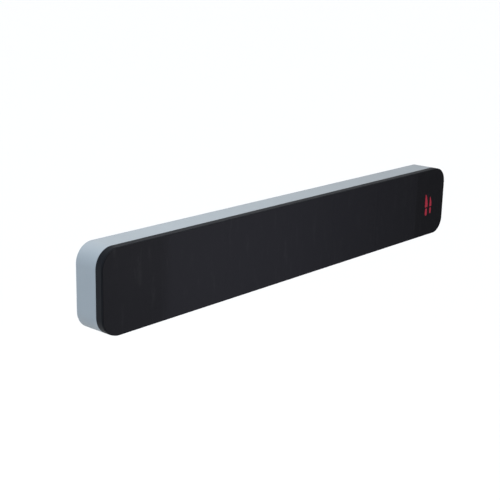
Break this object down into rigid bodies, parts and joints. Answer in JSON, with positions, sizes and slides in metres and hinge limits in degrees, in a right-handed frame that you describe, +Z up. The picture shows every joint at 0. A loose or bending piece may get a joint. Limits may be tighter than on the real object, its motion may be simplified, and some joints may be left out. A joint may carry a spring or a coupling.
{
  "type": "magnetic knife rack",
  "caption": "Wall-mounted magnetic knife rack: grey rounded housing, black rubber-faced front cover over ferrite magnets, lifting off a hidden steel wall bracket.",
  "frame": {"origin": "on the wall plane (the back face of the wall bracket), in the middle of the rack's 300 x 43.5 mm outline as it hangs", "axes": "+X along the rack towards the end with the red mark, +Y into the wall, +Z up; the knives are held on the face at -Y"},
  "size_m": [0.3, 0.019, 0.0434],
  "materials": {
    "grey_abs": "satin",
    "black_abs": "satin",
    "black_rubber": "matte",
    "red_inlay": "matte",
    "ferrite": "matte",
    "keeper_steel": "satin",
    "zinc_steel": "satin",
    "stud_steel": "satin",
    "screw_steel": "satin",
    "foam": "matte"
  },
  "bodies": {
    "wall_bracket": {"bracket_plate": "zinc_steel", "bracket_stud_left": "stud_steel", "bracket_stud_right": "stud_steel", "bracket_pads": "foam"},
    "rack": {"rear_housing": "grey_abs", "keyhole_plate_left": "keeper_steel", "keyhole_plate_right": "keeper_steel", "housing_screws": "screw_steel", "keeper_plate": "keeper_steel", "keeper_screws": "screw_steel", "magnet_upper_1": "ferrite", "magnet_upper_2": "ferrite", "magnet_upper_3": "ferrite", "magnet_upper_4": "ferrite", "magnet_upper_5": "ferrite", "magnet_lower_1": "ferrite", "magnet_lower_2": "ferrite", "magnet_lower_3": "ferrite", "magnet_lower_4": "ferrite", "magnet_lower_5": "ferrite", "front_cover": "black_abs", "grip_skin": "black_rubber", "front_mark": "red_inlay"}
  },
  "joints": [
    {"name": "lift_off", "type": "slide", "parent": "wall_bracket", "child": "rack", "axis": [0, 0, 1], "range_m": [0, 0.0085]}
  ]
}
